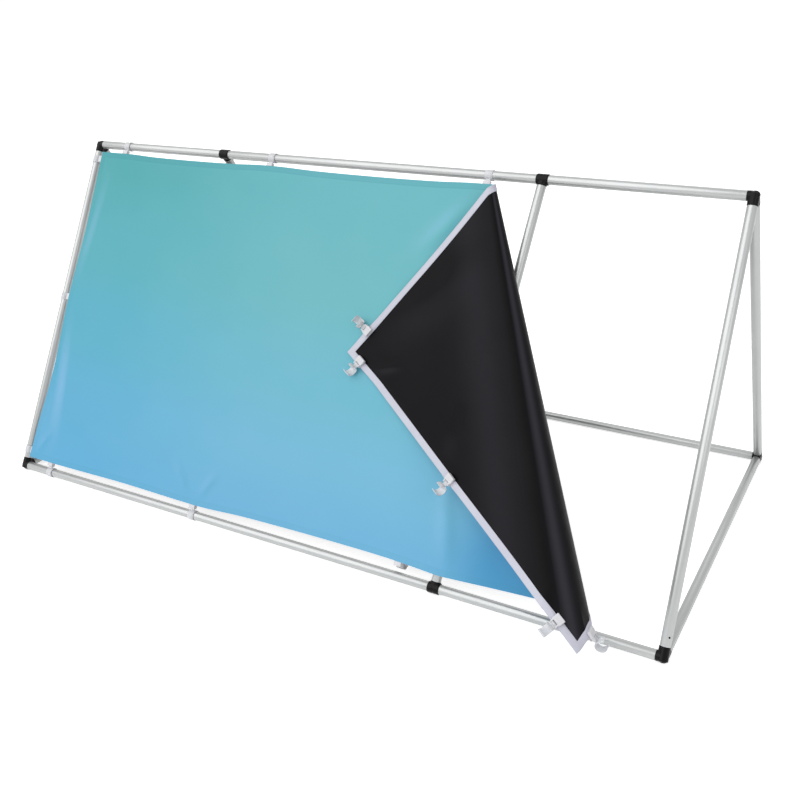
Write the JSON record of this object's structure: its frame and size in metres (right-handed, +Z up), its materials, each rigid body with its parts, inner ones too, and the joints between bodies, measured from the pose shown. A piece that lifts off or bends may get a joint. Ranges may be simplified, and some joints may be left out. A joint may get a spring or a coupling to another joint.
{
  "type": "banner stand",
  "caption": "Free-standing triangular tube frame that holds a wide banner clipped to its sloping front face, with one end of the banner unclipped and folded over.",
  "frame": {"origin": "on the floor, under the middle of the box round the whole stand, folded banner end included", "axes": "+X along the rails towards the folded end of the banner, -Y to the front where the banner faces, +Z up"},
  "size_m": [2.0748, 1.2256, 0.9521],
  "materials": {
    "tube": "satin silver round tube",
    "fitting": "black moulded plastic, slightly glossy",
    "banner": "printed banner cloth, teal to blue in front and black behind",
    "hem_tape": "pale woven hem tape, stitched",
    "clip_jaw": "white moulded plastic",
    "clip_ring": "frosted translucent moulded plastic"
  },
  "bodies": {
    "frame": {"top_rail_left": "tube", "top_rail_middle": "tube", "top_rail_right": "tube", "front_rail_left": "tube", "front_rail_right": "tube", "back_rail_left": "tube", "back_rail_right": "tube", "front_strut_left": "tube", "front_strut_right": "tube", "back_strut_left": "tube", "back_strut_right": "tube", "base_tube_left": "tube", "base_tube_right": "tube", "front_middle_strut": "tube", "back_middle_strut": "tube", "apex_corner_left": "fitting", "apex_corner_right": "fitting", "front_corner_left": "fitting", "front_corner_right": "fitting", "back_corner_left": "fitting", "back_corner_right": "fitting", "top_front_tee": "fitting", "front_rail_tee": "fitting", "top_back_tee": "fitting", "back_rail_tee": "fitting", "banner_main": "banner", "hem_tape_main": "hem_tape", "top_clip_1_ring": "clip_ring", "top_clip_1_jaw": "clip_jaw", "top_clip_2_ring": "clip_ring", "top_clip_2_jaw": "clip_jaw", "top_clip_3_ring": "clip_ring", "top_clip_3_jaw": "clip_jaw", "left_clip_1_ring": "clip_ring", "left_clip_1_jaw": "clip_jaw", "left_clip_2_ring": "clip_ring", "left_clip_2_jaw": "clip_jaw", "left_clip_3_ring": "clip_ring", "left_clip_3_jaw": "clip_jaw", "bottom_clip_1_ring": "clip_ring", "bottom_clip_1_jaw": "clip_jaw", "bottom_clip_2_ring": "clip_ring", "bottom_clip_2_jaw": "clip_jaw", "loose_clip_jaw": "clip_jaw"},
    "loose_ring": {"loose_clip_ring": "clip_ring"},
    "fold_strip": {"banner_fold": "banner", "hem_tape_fold_top": "hem_tape", "hem_tape_fold_bottom": "hem_tape", "fold_clip_jaw": "clip_jaw"},
    "fold_ring": {"fold_clip_ring": "clip_ring"},
    "flap": {"banner_flap": "banner", "hem_tape_flap": "hem_tape", "flap_clip_1_jaw": "clip_jaw", "flap_clip_2_jaw": "clip_jaw", "flap_clip_3_jaw": "clip_jaw", "flap_clip_4_jaw": "clip_jaw"},
    "flap_ring_1": {"flap_clip_1_ring": "clip_ring"},
    "flap_ring_2": {"flap_clip_2_ring": "clip_ring"},
    "flap_ring_3": {"flap_clip_3_ring": "clip_ring"},
    "flap_ring_4": {"flap_clip_4_ring": "clip_ring"}
  },
  "joints": [
    {"name": "fold_turn", "type": "hinge", "parent": "frame", "child": "fold_strip", "pos_m": [0.61787, -0.19742, 0.50132], "axis": [-0.4235, 0.455, 0.7833], "range_deg": [0, 62]},
    {"name": "flap_turn", "type": "hinge", "parent": "fold_strip", "child": "flap", "pos_m": [0.61787, -0.25942, 0.53622], "axis": [-0.4213, 0.5304, 0.7356], "range_deg": [0, 62]},
    {"name": "loose_ring_swing", "type": "hinge", "parent": "frame", "child": "loose_ring", "pos_m": [0.34077, -0.43215, 0.04515], "axis": [0.9993, -0.0187, -0.0332], "range_deg": [-24, 17]},
    {"name": "fold_ring_swing", "type": "hinge", "parent": "fold_strip", "child": "fold_ring", "pos_m": [0.89088, -0.52696, 0.08231], "axis": [0.0832, -0.9947, -0.061], "range_deg": [0, 95]},
    {"name": "flap_ring_1_swing", "type": "hinge", "parent": "flap", "child": "flap_ring_1", "pos_m": [0.10849, -0.16894, 0.56172], "axis": [0.5563, 0.4042, 0.726], "range_deg": [0, 95]},
    {"name": "flap_ring_2_swing", "type": "hinge", "parent": "flap", "child": "flap_ring_2", "pos_m": [0.11029, -0.21789, 0.47493], "axis": [-0.8271, 0.283, 0.4856], "range_deg": [0, 95]},
    {"name": "flap_ring_3_swing", "type": "hinge", "parent": "flap", "child": "flap_ring_3", "pos_m": [0.45723, -0.3822, 0.28688], "axis": [-0.8141, 0.4667, 0.3457], "range_deg": [0, 95]},
    {"name": "flap_ring_4_swing", "type": "hinge", "parent": "flap", "child": "flap_ring_4", "pos_m": [0.81474, -0.57742, 0.12718], "axis": [-0.794, 0.2728, 0.5433], "range_deg": [0, 95]}
  ],
  "couplings": [
    {"joint": "flap_turn", "follows": "fold_turn", "ratio": 1}
  ]
}
